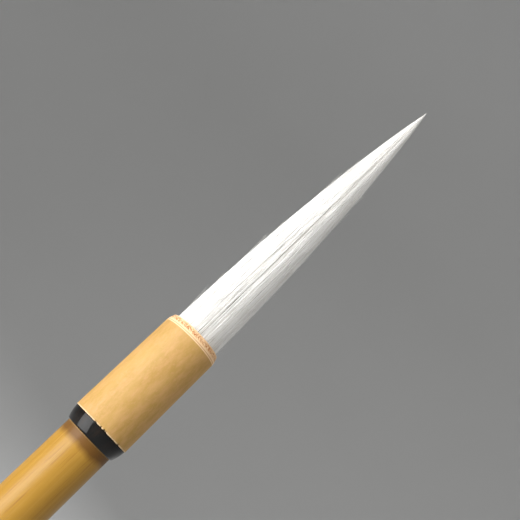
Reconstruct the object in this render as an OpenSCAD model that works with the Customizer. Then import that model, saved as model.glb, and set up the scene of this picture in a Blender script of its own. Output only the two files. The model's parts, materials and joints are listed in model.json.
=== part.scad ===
// Calligraphy brush with a long hair tuft, a bored bamboo ferrule, a black horn collar,
// a bamboo shaft and a horn tail cap. Millimetres. The brush stands on its tail with its
// tip up: +Z runs from the tail to the tip, and the origin is the centre of the tail's flat end.
//
// The hair is soft, so it is built in four zones that meet in shallow ball joints:
// a fixed root, then a waist, a belly and a tip that swing about three parallel pivots.

/* [Shaft] */
// Length of the bamboo shaft between the tail cap and the collar
shaft_len = 188; // [120:1:260]
// Outer radius of the shaft
shaft_r = 5.74; // [5.2:0.02:7]
// Radius of the hollow that runs through the bamboo
lumen_r = 2.2; // [1.2:0.1:2.6]
// Chamfer on the shaft's two end edges
shaft_edge = 0.2; // [0.1:0.05:0.5]

/* [Tail cap] */
// Length of the horn cap
cap_len = 10.5; // [9:0.5:18]
// How far the cap's side stands in from the shaft's surface
cap_step = 0.04; // [0.02:0.01:0.3]
// Radius of the flat end face
cap_foot_r = 2.6; // [1.8:0.1:3.6]
// Height of the rounded end
cap_round_len = 4.5; // [2:0.5:6]
// Radius of the hole for a hanging cord
cord_hole_r = 1; // [0.6:0.1:1.4]
// Length of the cord hole, up to the chamber that holds the knot
cord_hole_len = 3; // [2:0.25:4]
// Radius of the knot chamber
knot_chamber_r = 2; // [1.6:0.1:2.4]

/* [Tail peg] */
// Radius of the peg that joins the cap to the shaft
peg_r = 2.9; // [2.7:0.1:3.6]
// Length of the peg inside the cap
peg_cap_len = 4.5; // [3:0.25:4.75]
// Length of the peg inside the shaft
peg_shaft_len = 12; // [6:0.5:20]

/* [Collar] */
// Length of the horn collar
collar_len = 3; // [2:0.1:6]
// How far the collar stands out from the shaft where they meet
collar_over_shaft = 0.36; // [0:0.02:0.8]
// How far the collar stands in from the ferrule where they meet
collar_under_ferrule = 0.1; // [0:0.02:0.4]
// How far the collar's side bulges from a straight cone
collar_bulge = 0.12; // [0:0.02:0.3]

/* [Connecting dowel] */
// Radius of the dowel inside the ferrule
dowel_front_r = 4.2; // [3.8:0.1:4.6]
// Radius of the dowel inside the collar and the shaft
dowel_rear_r = 3.1; // [2.8:0.1:3.6]
// Length of the dowel inside the shaft
dowel_rear_len = 14; // [8:0.5:24]

/* [Ferrule] */
// Length of the bamboo ferrule with its lip
ferrule_len = 26.5; // [21:0.5:40]
// Depth of the hair socket, from the mouth
socket_depth = 16; // [12:0.5:20]
// Wall of the ferrule around the hair socket
ferrule_wall = 1.24; // [0.9:0.01:2]
// Length of the turned lip at the mouth
lip_len = 1.9; // [1.4:0.1:3]
// Wall of the lip at the mouth's edge
lip_wall = 0.69; // [0.5:0.01:0.85]
// Width of each fine ridge and groove behind the lip's bevel
ridge_width = 0.22; // [0.15:0.01:0.3]
// Depth of the groove between the two ridges
ridge_depth = 0.14; // [0.05:0.01:0.25]
// Chamfer on the ferrule's back edge
ferrule_edge = 0.15; // [0.05:0.05:0.4]

/* [Tuft] */
// Length of the hair that stands out of the ferrule
tuft_len = 78; // [68:0.5:95]
// Radius of the tuft at the mouth
tuft_r = 5.58; // [5.2:0.02:7]
// Shape of the point: lower is blunter
tip_shape = 0.88; // [0.8:0.01:1]
// Fullness of the belly: higher is fuller
belly_shape = 1.75; // [1.4:0.05:2]
// Radius of the inner core of hair at the mouth
core_r = 3.4; // [2.6:0.1:3.8]
// How far the core hair ends short of the tip
core_short = 5; // [3:0.5:10]

/* [Hair flex] */
// Height of the first pivot above the mouth
waist_pivot = 2.2; // [1.8:0.1:4]
// Height of the second pivot above the mouth
belly_pivot = 26; // [22:0.5:30]
// Height of the third pivot above the mouth
tip_pivot = 51; // [44:0.5:55]
// Gap in each ball joint between two zones of hair
flex_gap = 0.2; // [0.15:0.01:0.3]

/* [Root] */
// Thickness of the rosin seal at the socket's floor
seal_len = 1.5; // [0.8:0.1:3]
// Diameter of the binding thread
thread_d = 0.4; // [0.25:0.05:0.6]
// Number of turns of thread
thread_turns = 8; // [4:1:12]
// Height of the binding above the seal
binding_up = 2; // [1:0.25:4]

/* [Fits] */
// Radial glue gap around the dowel and the peg
glue_gap = 0.05; // [0.02:0.01:0.1]
// Radial gap between the hair and the socket's wall
hair_fit = 0.1; // [0.05:0.01:0.2]
// Gap between the core hair and the mantle hair
hair_gap = 0.05; // [0.02:0.01:0.1]
// Free depth past the end of the dowel and the peg
end_gap = 0.5; // [0.2:0.1:1]

/* [Hidden] */
$fn = 96;

// How far a cutter runs past the face it opens
past = 1;
// Steps along a curved outline, a zone of hair and a quarter arc
curve_steps = 12;
hair_steps = 10;
arc_steps = 10;
// Pitch of the thread turns, as a share of the thread, so that the turns are one solid
turn_overlap = 0.9;

// Heights from the tail to the tip
shaft_top = cap_len + shaft_len;
ferrule_bottom = shaft_top + collar_len;
mouth = ferrule_bottom + ferrule_len;
tip = mouth + tuft_len;
socket_floor = mouth - socket_depth;
root_bottom = socket_floor + seal_len;
dowel_front_len = ferrule_len - socket_depth - end_gap;
waist_z = mouth + waist_pivot;
belly_z = mouth + belly_pivot;
tip_z = mouth + tip_pivot;

// Radii that follow from the tuft and the shaft
cap_r = shaft_r - cap_step;
socket_r = tuft_r + hair_fit;
lip_r = socket_r + lip_wall;
ferrule_r = socket_r + ferrule_wall;
collar_front_r = ferrule_r - collar_under_ferrule;
collar_rear_r = shaft_r + collar_over_shaft;

// Binding: a stack of thread turns sunk flush into the mantle hair
turn_pitch = thread_d * turn_overlap;
binding_bottom = root_bottom + binding_up;
binding_len = (thread_turns - 1) * turn_pitch + thread_d;

// Radius at height z of a pointed bundle of radius r at the mouth that ends at height top
function bundle_r(z, r, top) =
    z >= top ? 0 :
    z <= mouth ? r :
    r * (1 - pow(1 - pow((top - z) / (top - mouth), tip_shape), belly_shape));

// Outer radius of the tuft at height z
function tuft_at(z) = bundle_r(z, tuft_r, tip);

// Outline points of a bundle from height low to height high
function bundle_side(low, high, r, top) =
    [for (i = [0 : hair_steps]) let (z = low + (high - low) * i / hair_steps) [bundle_r(z, r, top), z]];

// Outline points of the dome of radius r that closes a zone at height z
function dome_side(z, r) =
    [for (i = [1 : arc_steps]) let (a = 90 * i / arc_steps) [r * cos(a), z + r * sin(a)]];

// Thick-walled tube from height low to height high
module tube(low, high, outer, inner) {
    difference() {
        translate([0, 0, low]) cylinder(r = outer, h = high - low);
        translate([0, 0, low - past]) cylinder(r = inner, h = high - low + 2 * past);
    }
}

// Body of the core hair, drawn with a gap around it when it cuts the mantle
module core_shape(gap) {
    core_top = tip - core_short;
    rotate_extrude() polygon(concat(
        [[0, root_bottom - past], [core_r + gap, root_bottom - past]],
        bundle_side(mouth, core_top, core_r + gap, core_top + gap),
        [[0, core_top + gap]]));
}

// One zone of the tuft: a cup at its lower pivot and a dome about its upper pivot
module swinging_zone(low, high) {
    difference() {
        rotate_extrude() polygon(concat(
            [[0, low]], bundle_side(low, high, tuft_r, tip), dome_side(high, tuft_at(high))));
        translate([0, 0, low]) sphere(r = tuft_at(low) + flex_gap);
    }
}

// The fixed zone: the glued root and the first short stretch of hair outside the mouth
module root_zone() {
    rotate_extrude() polygon(concat(
        [[0, root_bottom], [tuft_r, root_bottom]],
        bundle_side(mouth, waist_z, tuft_r, tip), dome_side(waist_z, tuft_at(waist_z))));
}

// The last zone, which ends in the point
module tip_zone() {
    difference() {
        rotate_extrude() polygon(concat([[0, tip_z]], bundle_side(tip_z, tip, tuft_r, tip)));
        translate([0, 0, tip_z]) sphere(r = tuft_at(tip_z) + flex_gap);
    }
}

// The inner part of a zone of hair
module core_of() {
    intersection() {
        children();
        core_shape(0);
    }
}

// The outer part of a zone of hair
module mantle_of() {
    difference() {
        children();
        core_shape(hair_gap);
    }
}

module shaft() {
    color("#cb9a4d") difference() {
        rotate_extrude() polygon([
            [0, cap_len], [shaft_r - shaft_edge, cap_len], [shaft_r, cap_len + shaft_edge],
            [shaft_r, shaft_top - shaft_edge], [shaft_r - shaft_edge, shaft_top], [0, shaft_top]]);
        translate([0, 0, cap_len - past]) cylinder(r = lumen_r, h = shaft_len + 2 * past);
        translate([0, 0, cap_len - past])
            cylinder(r = peg_r + glue_gap, h = peg_shaft_len + end_gap + past);
        translate([0, 0, shaft_top - dowel_rear_len - end_gap])
            cylinder(r = dowel_rear_r + glue_gap, h = dowel_rear_len + end_gap + past);
    }
}

// Rounded horn cap with a cord hole that widens into a chamber for the knot
module tail_cap() {
    peg_bottom = cap_len - peg_cap_len;
    color("#15120f") difference() {
        rotate_extrude() polygon(concat(
            [[0, 0]],
            [for (i = [0 : curve_steps]) let (a = 90 * i / curve_steps)
                [cap_foot_r + (cap_r - cap_foot_r) * sin(a), cap_round_len * (1 - cos(a))]],
            [[cap_r, cap_len], [0, cap_len]]));
        translate([0, 0, -past]) cylinder(r = cord_hole_r, h = cord_hole_len + 2 * past);
        translate([0, 0, cord_hole_len])
            cylinder(r = knot_chamber_r, h = peg_bottom - cord_hole_len + past);
        translate([0, 0, peg_bottom]) cylinder(r = peg_r + glue_gap, h = peg_cap_len + past);
    }
}

module tail_peg() {
    color("#b98a5a") translate([0, 0, cap_len - peg_cap_len])
        cylinder(r = peg_r, h = peg_cap_len + peg_shaft_len);
}

// Horn ring that tapers, slightly bulged, from the ferrule to the shaft
module collar() {
    color("#0d0b0a") difference() {
        rotate_extrude() polygon(concat(
            [[0, shaft_top]],
            [for (i = [0 : curve_steps]) let (t = i / curve_steps)
                [collar_rear_r + (collar_front_r - collar_rear_r) * t + collar_bulge * sin(180 * t),
                 shaft_top + collar_len * t]],
            [[0, ferrule_bottom]]));
        translate([0, 0, shaft_top - past])
            cylinder(r = dowel_rear_r + glue_gap, h = collar_len + 2 * past);
    }
}

// Stepped hardwood dowel that joins the shaft, the collar and the ferrule
module connecting_dowel() {
    color("#b98a5a") {
        translate([0, 0, shaft_top - dowel_rear_len])
            cylinder(r = dowel_rear_r, h = dowel_rear_len + collar_len + past);
        translate([0, 0, ferrule_bottom]) cylinder(r = dowel_front_r, h = dowel_front_len);
    }
}

// Bored bamboo ferrule with two fine turned ridges and a bevelled lip at its mouth
module ferrule() {
    lip_bottom = mouth - lip_len;
    bevel_r = ferrule_r - ridge_depth / 2;
    color("#deb370") difference() {
        rotate_extrude() polygon([
            [0, ferrule_bottom],
            [ferrule_r - ferrule_edge, ferrule_bottom],
            [ferrule_r, ferrule_bottom + ferrule_edge],
            [ferrule_r, lip_bottom],
            [ferrule_r, lip_bottom + ridge_width],
            [ferrule_r - ridge_depth, lip_bottom + ridge_width],
            [ferrule_r - ridge_depth, lip_bottom + 2 * ridge_width],
            [bevel_r, lip_bottom + 2 * ridge_width],
            [bevel_r, lip_bottom + 3 * ridge_width],
            [lip_r, mouth],
            [0, mouth]]);
        translate([0, 0, socket_floor]) cylinder(r = socket_r, h = socket_depth + past);
        translate([0, 0, ferrule_bottom - past])
            cylinder(r = dowel_front_r + glue_gap, h = ferrule_len);
    }
}

// Plug of set rosin that holds the butts of the hair
module root_seal() {
    color("#7a3d16") translate([0, 0, socket_floor]) cylinder(r = tuft_r, h = seal_len);
}

// Turns of thread around the hair's root
module root_binding() {
    color("#c9b48c") for (i = [0 : thread_turns - 1])
        translate([0, 0, binding_bottom + thread_d / 2 + i * turn_pitch])
            rotate_extrude() translate([tuft_r - thread_d / 2, 0]) circle(d = thread_d, $fn = 24);
}

module core_hair_root() {
    color("#e9e4d6") core_of() root_zone();
}

module mantle_hair_root() {
    color("#f7f6f1") difference() {
        mantle_of() root_zone();
        tube(binding_bottom - hair_gap, binding_bottom + binding_len + hair_gap,
             tuft_r + past, tuft_r - thread_d - hair_gap);
    }
}

module core_hair_waist() {
    color("#e9e4d6") core_of() swinging_zone(waist_z, belly_z);
}

module mantle_hair_waist() {
    color("#f7f6f1") mantle_of() swinging_zone(waist_z, belly_z);
}

module core_hair_belly() {
    color("#e9e4d6") core_of() swinging_zone(belly_z, tip_z);
}

module mantle_hair_belly() {
    color("#f7f6f1") mantle_of() swinging_zone(belly_z, tip_z);
}

module core_hair_tip() {
    color("#e9e4d6") core_of() tip_zone();
}

module mantle_hair_tip() {
    color("#f7f6f1") mantle_of() tip_zone();
}

shaft();
tail_cap();
tail_peg();
collar();
connecting_dowel();
ferrule();
root_seal();
root_binding();
core_hair_root();
mantle_hair_root();
core_hair_waist();
mantle_hair_waist();
core_hair_belly();
mantle_hair_belly();
core_hair_tip();
mantle_hair_tip();
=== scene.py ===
# %% [markdown]
# # A calligraphy brush with a long goat-hair tuft
#
# A brush for large characters is a bundle of white hair glued into a bored bamboo
# ferrule, joined by a black horn collar to a glossy bamboo shaft. The sizes, bodies and
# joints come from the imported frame. This file gives the brush its finish: it turns the
# hard pieces as a woodturner would, and lays the hair strand by strand.

# %% Load the frame
import json
import math

import bpy
from mathutils import Matrix, Vector, noise


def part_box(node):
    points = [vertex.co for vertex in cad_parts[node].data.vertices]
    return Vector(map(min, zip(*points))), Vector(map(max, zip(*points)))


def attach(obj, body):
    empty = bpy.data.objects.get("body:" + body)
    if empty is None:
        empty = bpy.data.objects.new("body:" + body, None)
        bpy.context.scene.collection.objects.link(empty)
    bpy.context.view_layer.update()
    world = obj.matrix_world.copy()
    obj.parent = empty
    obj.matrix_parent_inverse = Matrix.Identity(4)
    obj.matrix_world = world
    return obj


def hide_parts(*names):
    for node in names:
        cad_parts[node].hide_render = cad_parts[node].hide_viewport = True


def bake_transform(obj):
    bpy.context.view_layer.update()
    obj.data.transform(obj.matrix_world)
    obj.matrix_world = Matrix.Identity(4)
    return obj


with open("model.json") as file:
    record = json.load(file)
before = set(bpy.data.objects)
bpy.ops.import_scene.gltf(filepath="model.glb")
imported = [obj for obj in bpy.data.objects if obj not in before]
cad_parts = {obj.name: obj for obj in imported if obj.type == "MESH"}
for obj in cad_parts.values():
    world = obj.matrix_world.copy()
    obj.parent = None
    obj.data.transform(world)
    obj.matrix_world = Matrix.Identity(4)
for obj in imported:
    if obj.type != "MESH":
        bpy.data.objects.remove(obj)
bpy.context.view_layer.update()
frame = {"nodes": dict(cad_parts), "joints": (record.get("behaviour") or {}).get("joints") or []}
MM = 0.001

# %% [markdown]
# ## Measure the frame
#
# The brush stands on its tail with the tip up, so every piece is described by heights
# along Z and radii around it. All of them are read from the frame's own boxes, so that a
# change in the design moves the finish with it.


# %% Heights and radii
def low(node):
    """Height of a node's lowest point."""
    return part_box(node)[0].z


def high(node):
    """Height of a node's highest point."""
    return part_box(node)[1].z


def radius(node):
    """Radius of a round node at its widest."""
    lowest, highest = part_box(node)
    return (highest.x - lowest.x) / 2


CAP_TOP = high("tail_cap")
SHAFT_TOP = high("shaft")
COLLAR_TOP = high("collar")
MOUTH = high("ferrule")
TIP = high("mantle_hair_tip")
ROOT = low("mantle_hair_root")
TUFT_R = radius("mantle_hair_root")
SHAFT_R = radius("shaft")
CAP_R = radius("tail_cap")
FERRULE_R = radius("ferrule")
PIVOTS = [joint["pos_m"][2] for joint in frame["joints"]]
print(f"mouth at {MOUTH / MM:.1f} mm, tip at {TIP / MM:.1f} mm, tuft radius {TUFT_R / MM:.2f} mm")
print("pivots at", [round(z / MM, 1) for z in PIVOTS], "mm")

# %% [markdown]
# ## The camera
#
# The brush is seen from close by, with its tip at the upper right and its shaft leaving
# the view at the lower left. The camera stands level with the ferrule's back end and looks
# a little upwards, so the tip lies further away and the rings at the mouth show as shallow
# arcs. Rolling the camera lays the upright brush across the view.

# %% Place the camera
SENSOR_MM = 36.0
LENS_MM = 52.615
CAMERA_DISTANCE = 0.1594  # from the brush's axis, in metres
PITCH = math.radians(17.02)  # how far the view leans up towards the tip
RISE = math.radians(43.76)  # how steeply the brush rises in the view
SIDE_STEP = 0.00225  # how far the view's centre stands beside the axis
BELOW_FERRULE = 0.0003  # how far the view's centre stands below the ferrule's back end
NEAR_CLIP = 0.01

foot = Vector((-SIDE_STEP, 0, COLLAR_TOP - BELOW_FERRULE))
forward = Vector((0, math.cos(PITCH), math.sin(PITCH)))
level_right = Vector((1, 0, 0))
level_up = Vector((0, -math.sin(PITCH), math.cos(PITCH)))
right = level_up * math.cos(RISE) + level_right * math.sin(RISE)
up = level_up * math.sin(RISE) - level_right * math.cos(RISE)

camera_data = bpy.data.cameras.new("camera")
camera_data.sensor_width = SENSOR_MM
camera_data.lens = LENS_MM
camera_data.clip_start = NEAR_CLIP
camera = bpy.data.objects.new("camera", camera_data)
place = Matrix((right, up, -forward)).transposed().to_4x4()
place.translation = foot - Vector((0, CAMERA_DISTANCE, 0))
camera.matrix_world = place
bpy.context.scene.collection.objects.link(camera)
bpy.context.scene.camera = camera
print("lens", round(camera_data.lens, 1), "mm at", [round(c, 3) for c in place.translation])


# %% [markdown]
# ## A tool for node trees
#
# Materials and Geometry Nodes are built the same way: add a node, set what is fixed, and
# link what comes from another node. One small class does all three, so that a recipe
# reads from top to bottom.


# %% Node helper
class Nodes:
    """Adds nodes to one tree. An input that is a socket is linked, anything else is a value."""

    def __init__(self, tree):
        self.tree = tree

    def add(self, kind, inputs=None, **settings):
        """A new node with its settings and inputs, whose keys are names or positions."""
        node = self.tree.nodes.new(kind)
        for key, value in settings.items():
            setattr(node, key, value)
        for key, value in (inputs or {}).items():
            socket = node.inputs[key]
            if isinstance(value, bpy.types.NodeSocket):
                self.tree.links.new(value, socket)
            else:
                socket.default_value = value
        return node

    def math(self, operation, first, second=0.0, clamp=False):
        """A number worked out from one or two others."""
        node = self.add("ShaderNodeMath", {0: first, 1: second}, operation=operation)
        node.use_clamp = clamp
        return node.outputs[0]

    def mix(self, factor, first, second):
        """A blend of two numbers."""
        step = self.math("SUBTRACT", second, first)
        return self.math("ADD", first, self.math("MULTIPLY", step, factor))

    def steps(self, value, start, end):
        """A soft threshold: 0 where value is below start, 1 where it is above end."""
        return self.add("ShaderNodeMapRange", {0: value, 1: start, 2: end}).outputs[0]

    def band(self, value, start, end, soft):
        """1 where value lies between start and end, 0 outside, with soft edges."""
        rising = self.steps(value, start - soft, start + soft)
        falling = self.steps(value, end + soft, end - soft)
        return self.math("MULTIPLY", rising, falling)

    def colour(self, factor, first, second):
        """A blend of two colours."""
        node = self.add("ShaderNodeMix", data_type="RGBA")
        for key, value in ((0, factor), (6, first), (7, second)):
            if isinstance(value, bpy.types.NodeSocket):
                self.tree.links.new(value, node.inputs[key])
            else:
                node.inputs[key].default_value = value if key == 0 else (*value, 1)
        return node.outputs[2]

    def tinted(self, mask, strength, under, over):
        """One colour laid over another where the mask is 1, at this strength."""
        return self.colour(self.math("MULTIPLY", mask, strength), under, over)

    def grain(self, place, across, along, detail=2.0, sharp=0.5):
        """Noise drawn out along the brush: its size across and along the grain, in metres."""
        stretch = self.add("ShaderNodeMapping", {0: place, 3: (1 / across, 1 / across, 1 / along)})
        look = {"Vector": stretch.outputs[0], "Scale": 1.0, "Detail": detail, "Roughness": sharp}
        return self.add("ShaderNodeTexNoise", look).outputs[0]


# %% Material helpers
def new_material(name):
    """A material with a Principled shader, its node helper, the shader and object coordinates."""
    material = bpy.data.materials.new(name)
    material.use_nodes = True
    nodes = Nodes(material.node_tree)
    shader = material.node_tree.nodes["Principled BSDF"]
    place = nodes.add("ShaderNodeTexCoord").outputs["Object"]
    return material, nodes, shader, place


def finish_material(nodes, shader, colour, roughness, height=None, depth=0.0):
    """Links colour, roughness and, with a height, a bump of that depth in metres."""
    nodes.tree.links.new(colour, shader.inputs["Base Color"])
    nodes.tree.links.new(roughness, shader.inputs["Roughness"])
    if height is not None:
        bump = nodes.add("ShaderNodeBump", {"Height": height, "Distance": depth, "Strength": 1.0})
        nodes.tree.links.new(bump.outputs[0], shader.inputs["Normal"])


def told(material):
    """The same material, after printing what it holds."""
    print(material.name, "has", len(material.node_tree.nodes), "nodes")
    return material


# %% [markdown]
# ## Polished bamboo
#
# The shaft keeps the bamboo's waxy skin: amber, with long faint fibres under a clear
# gloss. Next to the collar a narrow band is rougher, and its dark brown is a painted
# shadow of the collar and ferrule, with an edge that wanders. The fibres are noise drawn
# out along the shaft, so they follow the surface without a seam. Each number pair after
# the noise is the range over which a mark fades in.

# %% Shaft finish
AMBER = (0.34, 0.168, 0.018)
PALE_AMBER = (0.43, 0.235, 0.032)
FIBRE_BROWN = (0.29, 0.13, 0.018)
STREAK_GOLD = (0.49, 0.29, 0.070)
COLLAR_SHADOW_BROWN = (0.125, 0.049, 0.005)
RIM_GOLD = (0.60, 0.40, 0.16)
# the band next to the collar is rougher and carries a painted shadow of the collar
ROUGH_SHADOW_BAND = 0.0021  # width of the dull band
ROUGH_SHADOW_WANDER = 0.0025  # how far the band's edge wanders along the shaft


def polished_bamboo():
    """Amber bamboo skin under a clear gloss, with a rough band at the collar in painted shadow."""
    material, nodes, shader, place = new_material("polished_bamboo")
    height = nodes.add("ShaderNodeSeparateXYZ", {0: place}).outputs[2]
    fibres = nodes.grain(place, 0.00022, 0.009, detail=3.0)
    cloud = nodes.grain(place, 0.0035, 0.03)
    streaks = nodes.grain(place, 0.0006, 0.035)
    colour = nodes.colour(cloud, AMBER, PALE_AMBER)
    colour = nodes.colour(nodes.steps(fibres, 0.56, 0.74), colour, FIBRE_BROWN)
    colour = nodes.tinted(nodes.steps(streaks, 0.55, 0.8), 0.5, colour, STREAK_GOLD)
    wander = nodes.math("MULTIPLY", nodes.math("SUBTRACT", cloud, 0.5), ROUGH_SHADOW_WANDER)
    band_start = SHAFT_TOP - ROUGH_SHADOW_BAND
    rough_and_shadow = nodes.steps(nodes.math("ADD", height, wander), band_start - 0.0008, band_start + 0.0006)
    # painted shadow of the collar and ferrule: the band next to the collar is darkened to brown
    colour = nodes.tinted(rough_and_shadow, 0.9, colour, COLLAR_SHADOW_BROWN)
    # a thin pale gold ring just below the shaft's top end
    rim = nodes.steps(height, SHAFT_TOP - 0.00028, SHAFT_TOP - 0.00018)
    colour = nodes.tinted(rim, 0.35, colour, RIM_GOLD)
    roughness = nodes.mix(rough_and_shadow, nodes.mix(cloud, 0.30, 0.42), 0.55)
    finish_material(nodes, shader, colour, roughness, fibres, 0.000012)
    shader.inputs["Specular IOR Level"].default_value = 0.35
    shader.inputs["Coat Weight"].default_value = 0.2
    shader.inputs["Coat Roughness"].default_value = 0.18
    return material


POLISHED = told(polished_bamboo())

# %% [markdown]
# ## Matte bamboo
#
# The ferrule was scraped and sanded, which cut through the skin and left a dull, pale
# tan surface with short fibre marks. Its turned lip shows the cut ends of the fibre
# bundles as rust-brown dashes, and its sawn back edge has been worn pale. The dashes are
# noise on coordinates that turn with height, which slants them.

# %% Ferrule finish
TAN = (0.45, 0.265, 0.062)
PINK_TAN = (0.55, 0.315, 0.115)
PALE_TAN = (0.56, 0.35, 0.110)
SPECK_PINK = (0.60, 0.33, 0.17)
FIBRE_TAN = (0.42, 0.21, 0.07)
LIP_PEACH = (0.90, 0.64, 0.385)
DASH_RUST = (0.50, 0.185, 0.04)
PORE_BROWN = (0.26, 0.085, 0.02)
GROOVE_SHADE_BROWN = (0.40, 0.17, 0.05)
SAWN_EDGE = (0.93, 0.74, 0.50)
LIP = 0.0019  # length of the turned lip
DASH_SLANT = 110.0  # turn of the dashes with height, in radians per metre


def sanded_tan(nodes, place, fibres, mottle):
    """Mottled tan with faint specks and short fibres."""
    cloud = nodes.grain(place, 0.004, 0.016)
    specks = nodes.grain(place, 0.00028, 0.0006)
    colour = nodes.colour(nodes.steps(mottle, 0.35, 0.68), TAN, PINK_TAN)
    colour = nodes.tinted(nodes.steps(cloud, 0.42, 0.7), 0.45, colour, PALE_TAN)
    colour = nodes.tinted(nodes.steps(specks, 0.52, 0.70), 0.30, colour, SPECK_PINK)
    return nodes.tinted(nodes.steps(fibres, 0.60, 0.74), 0.16, colour, FIBRE_TAN)


def cut_fibres(nodes, place, height, colour):
    """The colour with dashes and pores added on the lip's bevel, and the dashes alone."""
    turn = nodes.math("MULTIPLY", height, DASH_SLANT)
    slanted = nodes.add("ShaderNodeVectorRotate", {"Vector": place, "Angle": turn},
                        rotation_type="Z_AXIS").outputs[0]
    dashes = nodes.grain(slanted, 0.00016, 0.0006, detail=1.0)
    pores = nodes.grain(slanted, 0.00018, 0.00045, detail=0.0)
    bevel = nodes.band(height, MOUTH - 0.00112, MOUTH - 0.00022, 0.00012)
    dashes = nodes.math("MULTIPLY", bevel, nodes.steps(dashes, 0.46, 0.54))
    pores = nodes.math("MULTIPLY", bevel, nodes.steps(pores, 0.66, 0.72))
    colour = nodes.colour(dashes, colour, DASH_RUST)
    return nodes.tinted(pores, 0.5, colour, PORE_BROWN), dashes


def matte_bamboo():
    """Sanded bamboo with mottled tan, dashes of end grain on the lip and a pale back edge."""
    material, nodes, shader, place = new_material("matte_bamboo")
    height = nodes.add("ShaderNodeSeparateXYZ", {0: place}).outputs[2]
    fibres = nodes.grain(place, 0.00018, 0.0028)
    mottle = nodes.grain(place, 0.0010, 0.0030, detail=3.0, sharp=0.6)
    colour = sanded_tan(nodes, place, fibres, mottle)
    lip_start = MOUTH - LIP
    lip = nodes.steps(height, lip_start - 0.00005, lip_start + 0.00005)
    colour = nodes.tinted(lip, 0.9, colour, LIP_PEACH)
    colour, dashes = cut_fibres(nodes, place, height, colour)
    # painted shade: the turned groove between the lip's two ridges is darkened brown
    groove_shade = nodes.band(height, lip_start + 0.00027, lip_start + 0.00039, 0.00003)
    colour = nodes.tinted(groove_shade, 0.7, colour, GROOVE_SHADE_BROWN)
    back = nodes.band(height, COLLAR_TOP, COLLAR_TOP + 0.00022, 0.00005)
    colour = nodes.tinted(back, 0.5, colour, SAWN_EDGE)
    bumps = nodes.math("ADD", fibres, nodes.math("MULTIPLY", dashes, -2.0))
    finish_material(nodes, shader, colour, nodes.mix(mottle, 0.50, 0.68), bumps, 0.000007)
    return material


MATTE = told(matte_bamboo())

# %% [markdown]
# ## Black horn
#
# Water-buffalo horn polishes almost like lacquer. It is near black with faint brown
# streaks along its growth, and it shows a light source as a sharp, slightly rippled
# shape. A low roughness and a very shallow bump of turning marks give that.

# %% Horn finish
HORN_BLACK = (0.0032, 0.0029, 0.0027)
HORN_BROWN = (0.016, 0.009, 0.0055)


def black_horn():
    """Polished near-black horn with faint brown streaks and fine turning marks."""
    material, nodes, shader, place = new_material("black_horn")
    streaks = nodes.steps(nodes.grain(place, 0.0009, 0.012, detail=3.0), 0.52, 0.8)
    haze = nodes.grain(place, 0.0025, 0.0025)
    turning_marks = nodes.grain(place, 0.02, 0.00012, detail=1.0)
    colour = nodes.colour(streaks, HORN_BLACK, HORN_BROWN)
    finish_material(nodes, shader, colour, nodes.mix(haze, 0.03, 0.08), turning_marks, 0.0000012)
    shader.inputs["Specular IOR Level"].default_value = 0.33
    return material


HORN = told(black_horn())

# %% [markdown]
# ## Hair
#
# Goat hair is creamy white, and no two hairs are the same white. Each strand carries its
# own number, stored on the mesh as a named attribute, which the material reads to pick a
# colour between pale and warm. Part of the number is random and part is painted shade:
# the deeper a hair lies in the coat, the warmer and darker it is made. The hair deeper in
# the tuft lies in the shade of the rest, so it gets a darker pair of shades.

# %% Hair finish
CREAM = (0.98, 0.972, 0.95)
# the warm end also serves as painted shade for hairs that lie deep
WARM_SHADED_CREAM = (0.78, 0.735, 0.66)
SHADED_CREAM = (0.46, 0.44, 0.41)
SHADED_WARM = (0.34, 0.32, 0.29)


def goat_hair(name, pale, warm):
    """White hair whose colour changes from strand to strand and a little along it, partly as painted
    shade for hairs that lie deep.
    """
    material, nodes, shader, place = new_material(name)
    tint = nodes.add("ShaderNodeAttribute", attribute_name="tint").outputs["Fac"]
    cloud = nodes.grain(place, 0.0012, 0.02)
    mixed = nodes.math("ADD", nodes.math("MULTIPLY", tint, 0.8), nodes.math("MULTIPLY", cloud, 0.3))
    colour = nodes.colour(nodes.steps(mixed, 0.3, 0.95), pale, warm)
    finish_material(nodes, shader, colour, nodes.mix(tint, 0.36, 0.52))
    shader.inputs["Sheen Weight"].default_value = 0.15
    shader.inputs["Sheen Roughness"].default_value = 0.4
    return material


HAIR = told(goat_hair("mantle_hair", CREAM, WARM_SHADED_CREAM))
UNDER_HAIR = told(goat_hair("under_hair", SHADED_CREAM, SHADED_WARM))

# %% [markdown]
# ## Wood, rosin and thread
#
# The dowel, the peg, the rosin plug and the thread round the hair's root are glued
# inside and never seen, but they get real finishes too. They keep the frame's own
# meshes, because their shapes are plain, and only their material slots are filled.

# %% Hidden finishes
WOOD_BROWN = (0.36, 0.20, 0.09)
WOOD_PALE = (0.60, 0.38, 0.19)
ROSIN_DARK = (0.12, 0.035, 0.008)
ROSIN_AMBER = (0.34, 0.13, 0.03)
THREAD_DULL = (0.46, 0.37, 0.22)
THREAD_PALE = (0.70, 0.60, 0.42)


def plain_wood():
    """Close-grained turned hardwood."""
    material, nodes, shader, place = new_material("plain_wood")
    grain = nodes.grain(place, 0.0005, 0.008, detail=4.0)
    colour = nodes.colour(grain, WOOD_BROWN, WOOD_PALE)
    finish_material(nodes, shader, colour, nodes.mix(grain, 0.5, 0.65), grain, 0.00002)
    return material


def set_rosin():
    """Dark amber rosin, set in a rough plug."""
    material, nodes, shader, place = new_material("set_rosin")
    cloud = nodes.grain(place, 0.0015, 0.0015, detail=4.0)
    colour = nodes.colour(cloud, ROSIN_DARK, ROSIN_AMBER)
    finish_material(nodes, shader, colour, nodes.mix(cloud, 0.2, 0.45), cloud, 0.00008)
    return material


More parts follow.
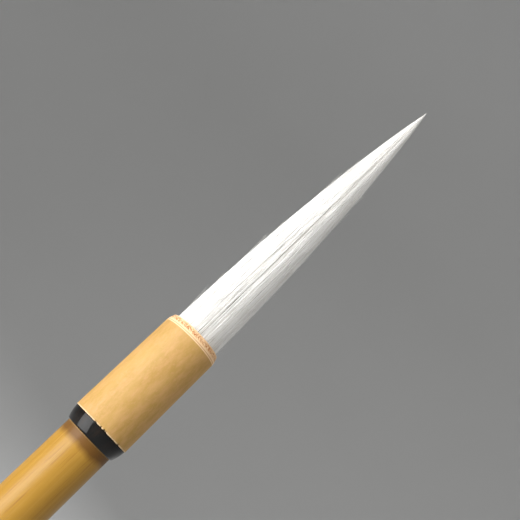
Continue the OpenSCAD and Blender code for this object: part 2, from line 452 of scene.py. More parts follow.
def waxed_thread():
    """Twisted cotton thread, dulled with wax."""
    material, nodes, shader, place = new_material("waxed_thread")
    twist = nodes.grain(place, 0.00012, 0.00008)
    colour = nodes.colour(twist, THREAD_DULL, THREAD_PALE)
    finish_material(nodes, shader, colour, nodes.mix(twist, 0.6, 0.8), twist, 0.00004)
    return material


WOOD = told(plain_wood())
HIDDEN = {"tail_peg": WOOD, "connecting_dowel": WOOD,
          "root_seal": told(set_rosin()), "root_binding": told(waxed_thread())}
for node, material in HIDDEN.items():
    for slot in frame["nodes"][node].material_slots:
        slot.material = material

# %% [markdown]
# ## Turning a hard piece
#
# Every hard piece was made on a lathe, so each one is an outline spun about the axis.
# The outline's corners are rounded with short arcs, and each arc is held between two
# close rings, which keeps the shading of the long faces flat up to the edge. A small
# wobble keeps the bamboo from looking machined.

# %% Outline helpers
ARC_STEPS = 4
LARGEST_ARC = 0.3  # an arc's reach as a share of the shorter side beside it
HOLD = 1.5  # where the holding rings stand, in reaches from the corner
ON_AXIS = 1e-9


def rounded(outline, size):
    """The closed outline with each corner off the axis turned into an arc of about this size."""
    points = []
    count = len(outline)
    for i, here in enumerate(outline):
        corner = Vector(here)
        before, after = Vector(outline[i - 1]), Vector(outline[(i + 1) % count])
        if corner.x < ON_AXIS:
            points.append(corner)
            continue
        back, ahead = before - corner, after - corner
        reach = min(size, back.length * LARGEST_ARC, ahead.length * LARGEST_ARC)
        back.normalize()
        ahead.normalize()
        points.append(corner + back * reach * HOLD)
        for k in range(ARC_STEPS + 1):
            t = k / ARC_STEPS
            points.append(corner + back * reach * (1 - t) ** 2 + ahead * reach * t ** 2)
        points.append(corner + ahead * reach * HOLD)
    return points


def divided(outline, longest):
    """The closed outline with extra points on every stretch longer than this."""
    points = []
    for here, ahead in zip(outline, outline[1:] + outline[:1]):
        here, ahead = Vector(here), Vector(ahead)
        count = max(1, math.ceil((ahead - here).length / longest))
        points += [tuple(here.lerp(ahead, i / count)) for i in range(count)]
    return points


# %% Lathe
def turned(name, outline, material, rings=144, wobble=None):
    """A solid of revolution from a closed outline of (radius, height), as a mesh object."""
    vertices, faces, rows = [], [], []
    for point in outline:
        if point[0] < ON_AXIS:
            rows.append([len(vertices)])
            vertices.append((0, 0, point[1]))
            continue
        row = []
        for j in range(rings):
            angle = 2 * math.pi * j / rings
            r, z = (point[0], point[1]) if wobble is None else wobble(angle, point[0], point[1])
            row.append(len(vertices))
            vertices.append((r * math.cos(angle), r * math.sin(angle), z))
        rows.append(row)
    for a, b in zip(rows, rows[1:] + rows[:1]):
        if len(a) == 1 and len(b) == 1:
            continue
        for j in range(rings):
            k = (j + 1) % rings
            corners = [a[j % len(a)], a[k % len(a)], b[k % len(b)], b[j % len(b)]]
            faces.append(tuple(dict.fromkeys(corners)))
    mesh = bpy.data.meshes.new(name)
    mesh.from_pydata(vertices, [], faces)
    mesh.materials.append(material)
    mesh.shade_smooth()
    piece = bpy.data.objects.new(name, mesh)
    bpy.context.scene.collection.objects.link(piece)
    print(name, "has", len(faces), "faces")
    return piece


# %% [markdown]
# ## Shaft
#
# The shaft is a straight length of slender bamboo, never quite round, with a hollow
# through it. It stands for the frame's node and keeps its size: the wobble only ever
# takes material away. It is noise read on a circle, so it joins up with itself after a
# full turn, and a bigger circle gives a finer wobble.

# %% Shaft
LUMEN_R = 0.0022
SHAFT_EDGE = 0.00016
SHAFT_RING_GAP = 0.004
OUT_OF_ROUND = 0.00003
RIPPLE = 0.000012


def unevenness(angle, z, around, along, shift=0):
    """Smooth noise from -1 to 1, with its pace around the brush and along it, per metre."""
    side = Vector((math.cos(angle), math.sin(angle), 0))
    return noise.noise(side * around + Vector((shift, 0, z * along)))


def bamboo_wobble(angle, r, z):
    """A hand-straightened culm: slightly out of round, changing slowly along its length."""
    slow = unevenness(angle, z, around=0.9, along=25)
    fine = unevenness(angle, z, around=9, along=12, shift=5)
    return r - OUT_OF_ROUND * abs(slow) - RIPPLE * abs(fine), z


shaft_corners = [(LUMEN_R, CAP_TOP), (SHAFT_R, CAP_TOP), (SHAFT_R, SHAFT_TOP), (LUMEN_R, SHAFT_TOP)]
shaft_outline = divided(rounded(shaft_corners, SHAFT_EDGE), SHAFT_RING_GAP)
shaft = turned("bamboo_shaft", shaft_outline, POLISHED, wobble=bamboo_wobble)
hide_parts("shaft")
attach(shaft, "handle")

# %% [markdown]
# ## Tail cap
#
# The horn cap closes the shaft's tail in a smooth dome with a hole for a cord. Behind
# the hole is a wider chamber for the knot, and behind that the socket of the peg. The
# dome is a quarter of an ellipse that starts at a small flat foot.

# %% Tail cap
PEG_SOCKET_R = 0.00295
KNOT_R = 0.002
CORD_HOLE_R = 0.001
CORD_HOLE_TOP = 0.003
CORD_HOLE_ROUND = (0.0001, 0.00012)  # width and height of the softened edge
DOME = 0.0045
DOME_STEPS = 20
FOOT_R = 0.0026
CAP_ROUND = (0.00008, 0.0002)  # width and height of the softened rim beside the shaft

quarter = [math.pi / 2 * i / DOME_STEPS for i in range(1, DOME_STEPS + 1)]
dome = [(FOOT_R + (CAP_R - FOOT_R) * math.sin(a), DOME * (1 - math.cos(a))) for a in quarter]
peg_floor = low("tail_peg")
cap_outline = [(CORD_HOLE_R, CORD_HOLE_ROUND[1]), (CORD_HOLE_R + CORD_HOLE_ROUND[0], 0), (FOOT_R, 0)]
cap_outline += dome
cap_outline += [(CAP_R, CAP_TOP - CAP_ROUND[1]), (CAP_R - CAP_ROUND[0], CAP_TOP)]
cap_outline += [(PEG_SOCKET_R, CAP_TOP), (PEG_SOCKET_R, peg_floor), (KNOT_R, peg_floor)]
cap_outline += [(KNOT_R, CORD_HOLE_TOP), (CORD_HOLE_R, CORD_HOLE_TOP)]
cap = turned("tail_horn", cap_outline, HORN)
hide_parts("tail_cap")
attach(cap, "handle")

# %% [markdown]
# ## Collar
#
# A horn ring hides the glued joint between ferrule and shaft. It tapers with a slight
# bulge, and its two rims are crisp but not sharp.

# %% Collar
COLLAR_OVER_SHAFT = 0.00036
COLLAR_UNDER_FERRULE = 0.0001
COLLAR_REAR_R = SHAFT_R + COLLAR_OVER_SHAFT
COLLAR_FRONT_R = FERRULE_R - COLLAR_UNDER_FERRULE
COLLAR_BULGE = 0.00012
COLLAR_RIM = 0.00008
COLLAR_STEPS = 14
DOWEL_HOLE_R = 0.00315


def collar_point(t):
    """Radius and height of the collar's side, with t from 0 at the shaft to 1 at the ferrule."""
    cone = COLLAR_REAR_R + (COLLAR_FRONT_R - COLLAR_REAR_R) * t
    return cone + COLLAR_BULGE * math.sin(math.pi * t), SHAFT_TOP + (COLLAR_TOP - SHAFT_TOP) * t


collar_side = [collar_point(i / COLLAR_STEPS) for i in range(COLLAR_STEPS + 1)]
collar_side[0] = (collar_side[0][0], collar_side[0][1] + COLLAR_RIM)
collar_side[-1] = (collar_side[-1][0], collar_side[-1][1] - COLLAR_RIM)
collar_rear = [(DOWEL_HOLE_R, SHAFT_TOP), (COLLAR_REAR_R - COLLAR_RIM, SHAFT_TOP)]
collar_front = [(COLLAR_FRONT_R - COLLAR_RIM, COLLAR_TOP), (DOWEL_HOLE_R, COLLAR_TOP)]
collar = turned("horn_collar", collar_rear + collar_side + collar_front, HORN)
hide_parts("collar")
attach(collar, "handle")

# %% [markdown]
# ## Ferrule
#
# A thicker piece of bamboo, bored out for the hair. Its mouth carries two hair-fine
# ridges and then a bevel that thins the wall to a pale rim, and its side narrows very
# slightly towards the mouth. The back edge has tiny chips where the saw broke out of the
# grain, most of them on one side. The chips need many rings, and two extra rows of points
# near the edge keep the rest of the side smooth.

# %% Ferrule
HAIR_GLUE = 0.0001
LIP_WALL = 0.00069
HAIR_SOCKET_R = TUFT_R + HAIR_GLUE
LIP_R = HAIR_SOCKET_R + LIP_WALL
RIDGE = 0.00022
RIDGE_DEPTH = 0.00014
DOWEL_SOCKET_R = 0.00425
FERRULE_EDGE = 0.0001
FERRULE_RING_GAP = 0.002
FERRULE_RINGS = 288
MOUTH_TAPER = 0.00010  # how much slimmer the ferrule is at its mouth
TORN_SIDE = Vector((0.6, -0.8, 0))  # the side where the saw came out
TORN_FROM = 0.6  # how squarely a point has to face that side to be chipped more
TORN_GAIN = 2.5  # how fast the chips grow from there
TORN_LEAST = 0.25  # size of the chips everywhere else, as a share
CHIP_REACH = 0.0003  # only points this close to the back edge are chipped
CHIP_SKIN = 0.0004  # and only those this close to the ferrule's widest radius
CHIP_DEPTH = 0.00035
CHIP_HEIGHT = 0.0009
DENT = 0.00002
BESIDE_CHIPS = (0.0004, 0.0008)  # how far the two extra rows of points stand from the edge


def ferrule_wobble(angle, r, z):
    """Nearly round, with a slight taper and fine chips along the back edge."""
    dent = DENT * abs(unevenness(angle, z, around=1.3, along=60))
    outer = max(0.0, (r - LIP_R) / (FERRULE_R - LIP_R))
    dent += MOUTH_TAPER * outer * (z - COLLAR_TOP) / (MOUTH - COLLAR_TOP)
    if r > FERRULE_R - CHIP_SKIN and z < COLLAR_TOP + CHIP_REACH:
        facing = Vector((math.cos(angle), math.sin(angle), 0)).dot(TORN_SIDE)
        torn = TORN_LEAST + max(0.0, facing - TORN_FROM) * TORN_GAIN
        chip = max(0.0, unevenness(angle, z, around=16, along=0, shift=3)) * torn
        return r - dent - CHIP_DEPTH * chip, z + CHIP_HEIGHT * chip
    return r - dent, z


# %% Turn the ferrule
lip_start = MOUTH - LIP
groove_r = FERRULE_R - RIDGE_DEPTH
bevel_r = FERRULE_R - RIDGE_DEPTH / 2
seal_low = low("root_seal")
ferrule_corners = [(DOWEL_SOCKET_R, COLLAR_TOP), (FERRULE_R, COLLAR_TOP)]
ferrule_corners += [(FERRULE_R, COLLAR_TOP + reach) for reach in BESIDE_CHIPS]
ferrule_corners += [(FERRULE_R, lip_start + RIDGE), (groove_r, lip_start + RIDGE),
                    (groove_r, lip_start + 2 * RIDGE), (bevel_r, lip_start + 2 * RIDGE),
                    (bevel_r, lip_start + 3 * RIDGE), (LIP_R, MOUTH)]
ferrule_corners += [(HAIR_SOCKET_R, MOUTH), (HAIR_SOCKET_R, seal_low), (DOWEL_SOCKET_R, seal_low)]
ferrule_outline = divided(rounded(ferrule_corners, FERRULE_EDGE), FERRULE_RING_GAP)
ferrule = turned("bamboo_ferrule", ferrule_outline, MATTE, rings=FERRULE_RINGS, wobble=ferrule_wobble)
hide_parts("ferrule")
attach(ferrule, "handle")

# %% [markdown]
# ## Three lengths of hair
#
# The tuft bends at three joints, and a piece can blend across only one of them. So the
# hair is made in three lengths, cut at two heights that lie between the joints, where
# the tuft is straight and the cuts always meet. Each length knows the bodies below and
# above its joint, and the heights between which it bends.

# %% Lengths of hair
TIP_SHAPE = 0.88
BELLY_SHAPE = 1.75
HALF_BEND = [0.0115, 0.0105, 0.0118]  # how far each bend reaches past its pivot
CUT_SHIFT = 0.001  # the lower cut stands this far above the middle between its joints
LOWER_CUT = (PIVOTS[0] + PIVOTS[1]) / 2 + CUT_SHIFT
UPPER_CUT = (PIVOTS[1] + PIVOTS[2]) / 2
HAIR_SINK = 0.003  # how deep in the ferrule the separate hairs start
HAIR_START = MOUTH - HAIR_SINK
ZONES = [
    ("lower", HAIR_START, LOWER_CUT, "handle", "tuft_waist", MOUTH, PIVOTS[0] + HALF_BEND[0]),
    ("middle", LOWER_CUT, UPPER_CUT, "tuft_waist", "tuft_belly",
     PIVOTS[1] - HALF_BEND[1], PIVOTS[1] + HALF_BEND[1]),
    ("upper", UPPER_CUT, TIP, "tuft_belly", "tuft_tip",
     PIVOTS[2] - HALF_BEND[2], PIVOTS[2] + HALF_BEND[2]),
]


def tuft_radius(z):
    """Outer radius of the tuft at a height."""
    share = min(1.0, max(0.0, (TIP - z) / (TIP - MOUTH)))
    return TUFT_R * (1 - (1 - share ** TIP_SHAPE) ** BELLY_SHAPE)


def bend(piece):
    """Bakes the piece's placement into its mesh; no joint is set up here."""
    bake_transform(piece)


print("cuts at", round(LOWER_CUT / MM, 1), "and", round(UPPER_CUT / MM, 1), "mm")

# %% [markdown]
# ## The bundle under the surface
#
# A tuft is hair all the way through. Only its outer hairs are seen, so the inside is one
# dense bundle in three lengths, a little slimmer than the tuft and darker, as the shade
# between hairs is. It stops short of the tip, where only the outer hairs come together.

# %% Inner bundle
UNDER = 0.94  # radius of the bundle as a share of the tuft's
UNDER_ROOT = 0.92  # the same inside the ferrule
UNDER_GAP = 0.00003  # further gap between its surface and the tuft's outline
BARE_TIP = 0.0035  # length at the tip that only the outer hairs reach
THINNEST = 0.00002  # the bundle stops where its radius would be less
BUNDLE_STEPS = 40
CORE_NODES = {"lower": ["core_hair_root", "core_hair_waist"], "middle": ["core_hair_belly"],
              "upper": ["core_hair_tip"]}


def bundle_radius(z):
    """Radius of the inner bundle at a height."""
    if z < MOUTH:
        return TUFT_R * UNDER_ROOT
    return max(tuft_radius(z) * UNDER - UNDER_GAP, 0.0)


for zone in ZONES:
    name, start, end = zone[:3]
    start = ROOT if name == "lower" else start
    end = TIP - BARE_TIP if name == "upper" else end
    heights = [start + (end - start) * i / BUNDLE_STEPS for i in range(BUNDLE_STEPS + 1)]
    side = [(bundle_radius(z), z) for z in heights]
    side = [point for point in side if point[0] > THINNEST]
    bundle_outline = [(0, side[0][1])] + side + [(0, side[-1][1])]
    bundle = turned(f"hair_bundle_{name}", bundle_outline, UNDER_HAIR, rings=64)
    bend(bundle)
    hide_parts(*CORE_NODES[name])

# %% [markdown]
# ## Laying the hair
#
# Thousands of hairs that follow one rule are work for Geometry Nodes. Each hair is a
# point with a few random numbers: its place around the tuft, how deep it lies, where it
# ends and how white it is, which is partly painted shade from its depth. A short line
# stands on each point, is bent to the tuft's outline, pulled towards its neighbours into
# fine locks, and swept with a tiny triangle that tapers to a point. The tree is built in
# three steps, one for each of these jobs.

# %% Hair tree helper
HAIR_SIZES = [
    ("Hairs", "NodeSocketInt"),  # how many hairs
    ("Seed", "NodeSocketInt"),
    ("Rings", "NodeSocketInt"),  # how many points along each hair
    ("Locks", "NodeSocketInt"),  # how many locks go round the tuft
    ("From Height", "NodeSocketFloat"),
    ("To Height", "NodeSocketFloat"),
    ("Hair Radius", "NodeSocketFloat"),
    ("Lock Pull", "NodeSocketFloat"),  # from 0, hairs evenly spread, to 1, gathered in the middle
    ("Groove", "NodeSocketFloat"),  # depth of the furrow between two locks
    ("Wander", "NodeSocketFloat"),  # how far a hair wanders sideways
    ("Lift", "NodeSocketFloat"),  # how far a hair's end may stand off the tuft
    ("Short Of Tip", "NodeSocketFloat"),  # how far short of the tip a hair may end
    ("Start Spread", "NodeSocketFloat"),  # length over which the hairs' starts are spread
    ("Longest", "NodeSocketFloat"),  # length of the longest hair
    ("Layer", "NodeSocketFloat"),  # depth of the coat, as a share of the tuft's radius
    ("Hair", "NodeSocketMaterial")]
FULL_TURN = 2 * math.pi


class HairNodes(Nodes):
    """A node helper with the tree's own inputs, random numbers and stored numbers."""

    def __init__(self, tree):
        super().__init__(tree)
        self.given = self.add("NodeGroupInput").outputs

    def chance(self, number, least=0.0, most=1.0):
        """A random number for each hair, fixed by the seed and by this draw's own number."""
        salt = self.math("ADD", self.math("MULTIPLY", self.given["Seed"], 17.0), number)
        node = self.add("FunctionNodeRandomValue", {2: least, 3: most, 8: salt}, data_type="FLOAT")
        return node.outputs[1]

    def keep(self, geometry, name, value):
        """Stores a number on every point under a name."""
        inputs = {"Geometry": geometry, "Name": name, "Value": value}
        return self.add("GeometryNodeStoreNamedAttribute", inputs, data_type="FLOAT").outputs[0]

    def kept(self, name):
        """Reads a stored number back."""
        node = self.add("GeometryNodeInputNamedAttribute", {"Name": name}, data_type="FLOAT")
        return node.outputs[0]


# %% Scatter the hairs
TOO_SHORT = 0.0004  # a hair shorter than this is left out
# deeper hairs get a warmer, darker colour as painted shade
SHADE_FROM_DEPTH = 0.55  # how much of a hair's tint comes from how deep it lies
THINNER = 0.75  # thickness of the thinnest hair, as a share of the usual one
THICKER = 1.25  # the same for the thickest
REACHING = 1.6  # the higher, the more hairs come close to the tip
LYING = 1.5  # the higher, the more strays lie close to the tuft
SHORTER = 0.4  # length of the shortest stray, as a share of the longest


def standing_lines(nodes):
    """A straight line for each hair that starts where its random numbers say, as curves."""
    given = nodes.given
    points = nodes.add("GeometryNodePoints", {"Count": given["Hairs"]}).outputs[0]
    points = nodes.keep(points, "turn", nodes.chance(1, 0.0, FULL_TURN))
    points = nodes.keep(points, "depth", nodes.chance(2))
    # painted shade: the deeper a hair lies, the warmer and darker its colour
    tint = nodes.mix(SHADE_FROM_DEPTH, nodes.chance(3), nodes.kept("depth"))
    points = nodes.keep(points, "tint", tint)
    points = nodes.keep(points, "phase", nodes.chance(4, 0.0, FULL_TURN))
    points = nodes.keep(points, "thick", nodes.chance(5, THINNER, THICKER))
    spread = nodes.math("MULTIPLY", nodes.chance(7), given["Start Spread"])
    points = nodes.keep(points, "begin", nodes.math("ADD", given["From Height"], spread))
    short = nodes.math("POWER", nodes.chance(6), REACHING)
    short = nodes.math("MULTIPLY", short, given["Short Of Tip"])
    length = nodes.math("MULTIPLY", nodes.chance(8, SHORTER, 1.0), given["Longest"])
    reach = nodes.math("ADD", nodes.kept("begin"), length)
    points = nodes.keep(points, "ends", nodes.math("MINIMUM", nodes.math("SUBTRACT", TIP, short), reach))
    lift = nodes.math("MULTIPLY", nodes.math("POWER", nodes.chance(9), LYING), given["Lift"])
    points = nodes.keep(points, "lift", lift)

    line = nodes.add("GeometryNodeCurvePrimitiveLine").outputs[0]
    line = nodes.add("GeometryNodeResampleCurve", {"Curve": line, "Count": given["Rings"]}).outputs[0]
    hairs = nodes.add("GeometryNodeInstanceOnPoints", {"Points": points, "Instance": line}).outputs[0]
    hairs = nodes.add("GeometryNodeRealizeInstances", {0: hairs}).outputs[0]
    gone = nodes.math("LESS_THAN", nodes.kept("ends"), nodes.math("ADD", nodes.kept("begin"), TOO_SHORT))
    return nodes.add("GeometryNodeDeleteGeometry", {"Geometry": hairs, "Selection": gone},
                     domain="CURVE").outputs[0]


# %% Bend the hairs to the tuft
SWELL = 0.4  # share of a lock's pull that swells and fades along it
SWELL_PACE = 90.0  # how fast it does so with height, in radians per metre
LOCK_SHIFT = 2.4  # shift of the swelling from one lock to the next, in radians
CALM_PACE = 60.0  # how fast the calmest hair wanders with height, in radians per metre
LIVELY_PACE = 110.0  # how much faster the liveliest one does


def share_left(nodes, z):
    """How much of the tuft is left above a height: 1 at the mouth, 0 at the tip."""
    share = nodes.math("DIVIDE", nodes.math("SUBTRACT", TIP, z), TIP - MOUTH)
    return nodes.math("MINIMUM", nodes.math("MAXIMUM", share, 0.0), 1.0)


def outline_radius(nodes, share):
    """Outer radius of the tuft, by the same rule as tuft_radius."""
    inner = nodes.math("SUBTRACT", 1.0, nodes.math("POWER", share, TIP_SHAPE))
    rest = nodes.math("SUBTRACT", 1.0, nodes.math("POWER", inner, BELLY_SHAPE))
    return nodes.math("MULTIPLY", rest, TUFT_R)


def gathered_turn(nodes, z):
    """Angle of each hair in its lock, with its wandering, and its place off the lock's middle."""
    given = nodes.given
    lock = nodes.math("DIVIDE", nodes.math("MULTIPLY", nodes.kept("turn"), given["Locks"]), FULL_TURN)
    middle = nodes.math("ADD", nodes.math("FLOOR", lock), 0.5)
    off = nodes.math("SUBTRACT", lock, middle)
    phase = nodes.math("MULTIPLY", middle, LOCK_SHIFT)
    swell = nodes.math("SINE", nodes.math("ADD", nodes.math("MULTIPLY", z, SWELL_PACE), phase))
    swell = nodes.math("ADD", 1 - SWELL, nodes.math("MULTIPLY", SWELL, swell))
    pull = nodes.math("MULTIPLY", given["Lock Pull"], swell)
    pulled = nodes.math("SUBTRACT", lock, nodes.math("MULTIPLY", off, pull))
    turn = nodes.math("DIVIDE", nodes.math("MULTIPLY", pulled, FULL_TURN), given["Locks"])
    pace = nodes.math("ADD", CALM_PACE, nodes.math("MULTIPLY", nodes.kept("tint"), LIVELY_PACE))
    wave = nodes.math("SINE", nodes.math("ADD", nodes.math("MULTIPLY", z, pace), nodes.kept("phase")))
    wander = nodes.math("MULTIPLY", wave, nodes.math("DIVIDE", given["Wander"], TUFT_R))
    return nodes.math("ADD", turn, wander), off


def bent_lines(nodes, hairs, z, along):
    """The hairs' curves laid on the tuft at heights z."""
    given = nodes.given
    share = share_left(nodes, z)
    outline = outline_radius(nodes, share)
    turn, off = gathered_turn(nodes, z)
    valley = nodes.math("MULTIPLY", nodes.math("MULTIPLY", off, off), 4.0)  # 1 at a lock's edge
    sunk = nodes.math("MULTIPLY", nodes.math("MULTIPLY", valley, given["Groove"]), share)
    layer = nodes.math("MULTIPLY", nodes.math("MULTIPLY", nodes.kept("depth"), given["Layer"]), outline)
    out = nodes.math("SUBTRACT", nodes.math("SUBTRACT", outline, layer), sunk)
    out = nodes.math("MAXIMUM", nodes.math("SUBTRACT", out, given["Hair Radius"]), 0.0)
    rise = nodes.math("MULTIPLY", nodes.math("MULTIPLY", along, along), nodes.kept("lift"))
    out = nodes.math("ADD", out, rise)
    x = nodes.math("MULTIPLY", out, nodes.math("COSINE", turn))
    y = nodes.math("MULTIPLY", out, nodes.math("SINE", turn))
    spot = nodes.add("ShaderNodeCombineXYZ", {0: x, 1: y, 2: z}).outputs[0]
    return nodes.add("GeometryNodeSetPosition", {"Geometry": hairs, "Position": spot}).outputs[0]


# %% Sweep the hairs
TAPER_LENGTH = 0.022  # length over which a hair thins to its end
END_THICKNESS = 0.12  # thickness at a hair's end as a share of the full one
TAPER_CURVE = 0.7  # below 1, a hair stays thick for longer and then thins faster


def swept_hair(nodes, hairs, z):
    """The curves given their thickness, with tapered ends, as one plain mesh."""
    left = nodes.math("SUBTRACT", nodes.kept("ends"), z)
    left = nodes.math("DIVIDE", left, TAPER_LENGTH, clamp=True)
    taper = nodes.math("MULTIPLY", 1 - END_THICKNESS, nodes.math("POWER", left, TAPER_CURVE))
    taper = nodes.math("ADD", END_THICKNESS, taper)
    size = nodes.math("MULTIPLY", taper, nodes.kept("thick"))
    size = nodes.math("MULTIPLY", size, nodes.given["Hair Radius"])
    triangle = nodes.add("GeometryNodeCurvePrimitiveCircle", {"Resolution": 3, "Radius": 1.0}).outputs[0]
    sweep = {"Curve": hairs, "Profile Curve": triangle, "Scale": size, "Fill Caps": True}
    mesh = nodes.add("GeometryNodeCurveToMesh", sweep).outputs[0]
    mesh = nodes.add("GeometryNodeSetShadeSmooth", {0: mesh}).outputs[0]
    mesh = nodes.add("GeometryNodeRealizeInstances", {0: mesh}).outputs[0]
    look = {"Geometry": mesh, "Material": nodes.given["Hair"]}
    return nodes.add("GeometryNodeSetMaterial", look).outputs[0]


# %% Hair tree
def hair_tree():
    """Geometry Nodes that lay tapered hairs over the tuft between two heights."""
    tree = bpy.data.node_groups.new("tuft_hair", "GeometryNodeTree")
    tree.interface.new_socket("Geometry", in_out="OUTPUT", socket_type="NodeSocketGeometry")
    for name, kind in HAIR_SIZES:
        tree.interface.new_socket(name, in_out="INPUT", socket_type=kind)
    nodes = HairNodes(tree)
    hairs = standing_lines(nodes)
    along = nodes.add("GeometryNodeSplineParameter").outputs[0]
    stop = nodes.math("MINIMUM", nodes.given["To Height"], nodes.kept("ends"))
    z = nodes.mix(along, nodes.kept("begin"), stop)
    hairs = bent_lines(nodes, hairs, z, along)
    nodes.add("NodeGroupOutput", {"Geometry": swept_hair(nodes, hairs, z)})
    return tree


HAIR_TREE = hair_tree()
print("hair tree has", len(HAIR_TREE.nodes), "nodes")

# %% [markdown]
# ## Growing the hair
#
# The tree runs nine times: a dense coat gathered into locks, a looser outer coat, and a
# few short strays that stand off the rest, each in the tuft's three lengths. The same
# seed in all three lengths makes each hair go on where it was cut. The result is kept as
# a plain mesh, because only plain meshes can be bent by the joints and exported.


# %% Growing helper
def grow(name, **sizes):
    """Runs the hair tree with these sizes and keeps the result as a plain mesh object."""
    holder = bpy.data.objects.new(name + "_holder", bpy.data.meshes.new(name + "_holder"))
    bpy.context.scene.collection.objects.link(holder)
    modifier = holder.modifiers.new("hair", "NODES")
    modifier.node_group = HAIR_TREE
    for item in HAIR_TREE.interface.items_tree:
        if item.in_out == "INPUT":
            modifier[item.identifier] = sizes[item.name]
    evaluated = holder.evaluated_get(bpy.context.evaluated_depsgraph_get())
    mesh = bpy.data.meshes.new_from_object(evaluated)
    bpy.data.objects.remove(holder)
    mesh.name = name
    piece = bpy.data.objects.new(name, mesh)
    bpy.context.scene.collection.objects.link(piece)
    print(name, "has", len(mesh.polygons), "faces")
    return piece


# %% Grow the hair
TUFT_LENGTH = TIP - MOUTH
NO_LIMIT = 1.0  # longer than any hair, in metres
DENSE = {"Hairs": 2250, "Seed": 3, "Locks": 58, "Hair Radius": 0.000065, "Lock Pull": 0.7,
         "Groove": 0.00048, "Wander": 0.00012, "Lift": 0.0, "Short Of Tip": 0.5 * TUFT_LENGTH,
         "Start Spread": 0.0, "Longest": NO_LIMIT, "Layer": 0.13}
OUTER = {"Hairs": 820, "Seed": 5, "Locks": 90, "Hair Radius": 0.00006, "Lock Pull": 0.5,
         "Groove": 0.0001, "Wander": 0.00026, "Lift": 0.0, "Short Of Tip": 0.75 * TUFT_LENGTH,
         "Start Spread": 0.0, "Longest": NO_LIMIT, "Layer": 0.035}
STRAY = {"Hairs": 170, "Seed": 8, "Locks": 30, "Hair Radius": 0.000045, "Lock Pull": 0.0,
         "Groove": 0.0, "Wander": 0.0006, "Lift": 0.0011, "Short Of Tip": 0.0,
         "Start Spread": 0.012, "Longest": 0.010, "Layer": 0.01}
RINGS = {"lower": 9, "middle": 9, "upper": 11}
STRAY_MARGIN = 0.0005  # strays end this far below a cut
MANTLE_NODES = {"lower": ["mantle_hair_root", "mantle_hair_waist"], "middle": ["mantle_hair_belly"],
                "upper": ["mantle_hair_tip"]}
for zone in ZONES:
    name, start, end = zone[:3]
    for layer, sizes in (("hair", DENSE), ("outer_hair", OUTER), ("stray_hair", STRAY)):
        stop = end - STRAY_MARGIN if layer == "stray_hair" else end
        here = {"Rings": RINGS[name], "From Height": start, "To Height": stop, "Hair": HAIR}
        piece = grow(f"{layer}_{name}", **sizes, **here)
        bend(piece)
        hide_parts(*MANTLE_NODES[name])

# %% [markdown]
# ## The studio
#
# A pale bowl, a floor that curves up into a round wall, stands around the brush, so that
# every view has the same plain ground. It is one more turned outline. It is easiest to
# write from the middle of the floor outwards, and then it is reversed, so that it runs
# the same way round as the other outlines and its faces look outwards too.

# %% Floor and wall
BOWL_R = 2.6
BOWL_H = 4.0
CURVE_R = 1.4
CURVE_STEPS = 16
BOWL_WALL = 0.05
PAPER_DIM = (0.58, 0.58, 0.575)
PAPER_PALE = (0.61, 0.61, 0.605)


def studio_bowl():
    """Floor, curved corner and wall in one smooth surface."""
    flat_r = BOWL_R - CURVE_R
    outline = [(0, 0), (flat_r, 0)]
    angles = [math.pi / 2 * i / CURVE_STEPS for i in range(1, CURVE_STEPS + 1)]
    outline += [(flat_r + CURVE_R * math.sin(a), CURVE_R * (1 - math.cos(a))) for a in angles]
    outline += [(BOWL_R, BOWL_H), (BOWL_R + BOWL_WALL, BOWL_H)]
    outline += [(BOWL_R + BOWL_WALL, -BOWL_WALL), (0, -BOWL_WALL)]
    material, nodes, shader, place = new_material("studio_paper")
    cloud = nodes.grain(place, 0.5, 0.5)
    colour = nodes.colour(cloud, PAPER_DIM, PAPER_PALE)
    finish_material(nodes, shader, colour, nodes.mix(cloud, 0.85, 0.9))
    return turned("studio_bowl", outline[::-1], material, rings=96)


studio_bowl()

# %% [markdown]
# ## The light
#
# One large soft light on the left, the key, models the round forms. A small one, the
# card, is aimed at the collar from low down and shows as a clean patch in the horn. The
# fill, back and top lights only lift the shade and stay out of the reflections.

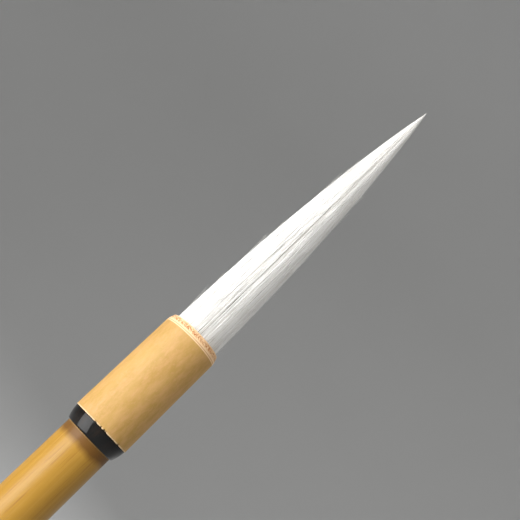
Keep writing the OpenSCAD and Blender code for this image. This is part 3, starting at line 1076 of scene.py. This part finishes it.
# %% Lights
SHOWN_SPREAD = math.radians(110)  # how wide a light shines that shows in the gloss


def soft_light(name, aim, towards, distance, width, height, power, shows):
    """A rectangular light at a distance from a height on the brush, facing it."""
    data = bpy.data.lights.new(name, "AREA")
    data.shape = "RECTANGLE"
    data.size, data.size_y = width, height
    data.energy = power
    data.spread = SHOWN_SPREAD if shows else math.pi
    light = bpy.data.objects.new(name, data)
    bpy.context.scene.collection.objects.link(light)
    aim = Vector((0, 0, aim))
    light.location = aim + Vector(towards).normalized() * distance
    light.rotation_euler = (aim - light.location).to_track_quat("-Z", "Y").to_euler()
    light.visible_camera = False
    light.visible_glossy = shows
    print(name, "light at", [round(c, 2) for c in light.location])


KEY_TURN = math.radians(55)  # how far round to the left the key and the card stand
key_x, key_y = -math.sin(KEY_TURN), -math.cos(KEY_TURN)
collar_middle = (SHAFT_TOP + COLLAR_TOP) / 2
soft_light("key", MOUTH, (key_x, key_y, 0.42),
           distance=0.95, width=0.84, height=1.1, power=4.9, shows=True)
soft_light("card", collar_middle, (key_x, key_y, -0.46),
           distance=0.165, width=0.14, height=0.12, power=0.078, shows=True)
soft_light("fill", MOUTH, (-0.28, -1.0, 0.35),
           distance=1.2, width=1.0, height=1.0, power=5.0, shows=False)
soft_light("back", MOUTH, (0.55, 1.0, 0.7),
           distance=1.3, width=1.0, height=1.0, power=8.0, shows=False)
soft_light("top", MOUTH, (0.0, 0.01, 1.0),
           distance=4.2, width=3.2, height=3.2, power=42.0, shows=False)

# %% Sky
SKY_STRENGTH = 0.03
world = bpy.data.worlds.new("studio")
world.use_nodes = True
sky = world.node_tree.nodes["Background"]
sky.inputs["Color"].default_value = (1.0, 1.0, 1.0, 1)
sky.inputs["Strength"].default_value = SKY_STRENGTH
bpy.context.scene.world = world
bpy.context.scene.view_settings.view_transform = "Standard"
print("sky strength", SKY_STRENGTH)

# %% [markdown]
# ## Last update
#
# The scene is brought up to date once more at the end.

# %% Last update
bpy.context.view_layer.update()
